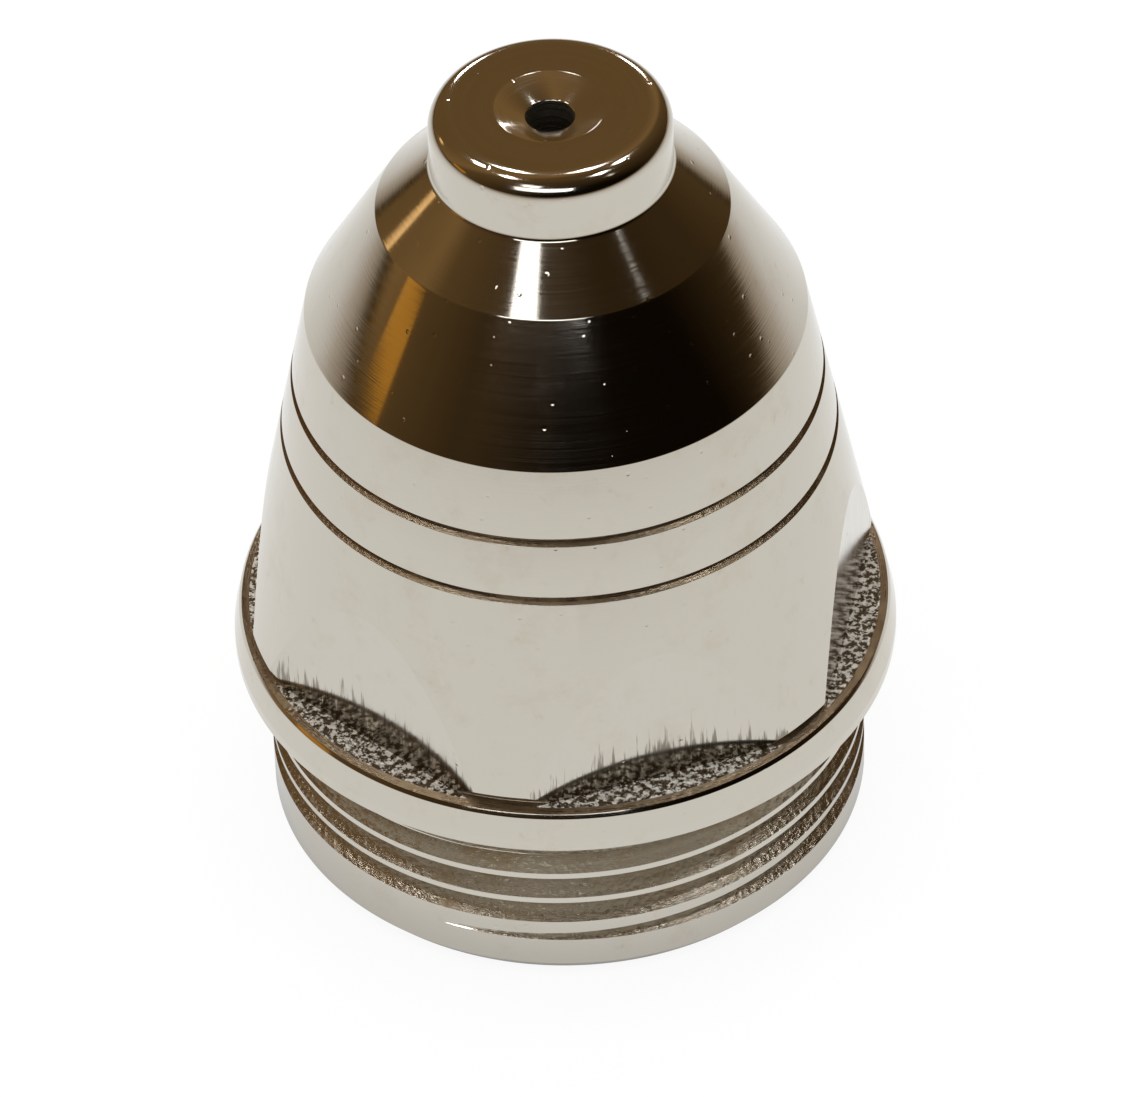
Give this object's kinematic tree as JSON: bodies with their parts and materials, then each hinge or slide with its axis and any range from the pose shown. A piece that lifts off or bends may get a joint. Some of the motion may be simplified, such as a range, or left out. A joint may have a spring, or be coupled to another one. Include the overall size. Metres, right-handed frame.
{
  "type": "plasma torch nozzle",
  "caption": "Turned and plated plasma torch nozzle: threaded stem, rim, tapered body with spanner flats and scribed grooves, stepped nose with a fine orifice.",
  "frame": {"origin": "centre of the threaded end face, which the nozzle stands on", "axes": "+Z along the nozzle's axis and out of the orifice; -Y is the front"},
  "size_m": [0.0198, 0.0198, 0.026],
  "materials": {
    "nickel_plate": "bright nickel plate on turned copper, satin from handling"
  },
  "bodies": {
    "root": {"nozzle": "nickel_plate"}
  },
  "joints": []
}
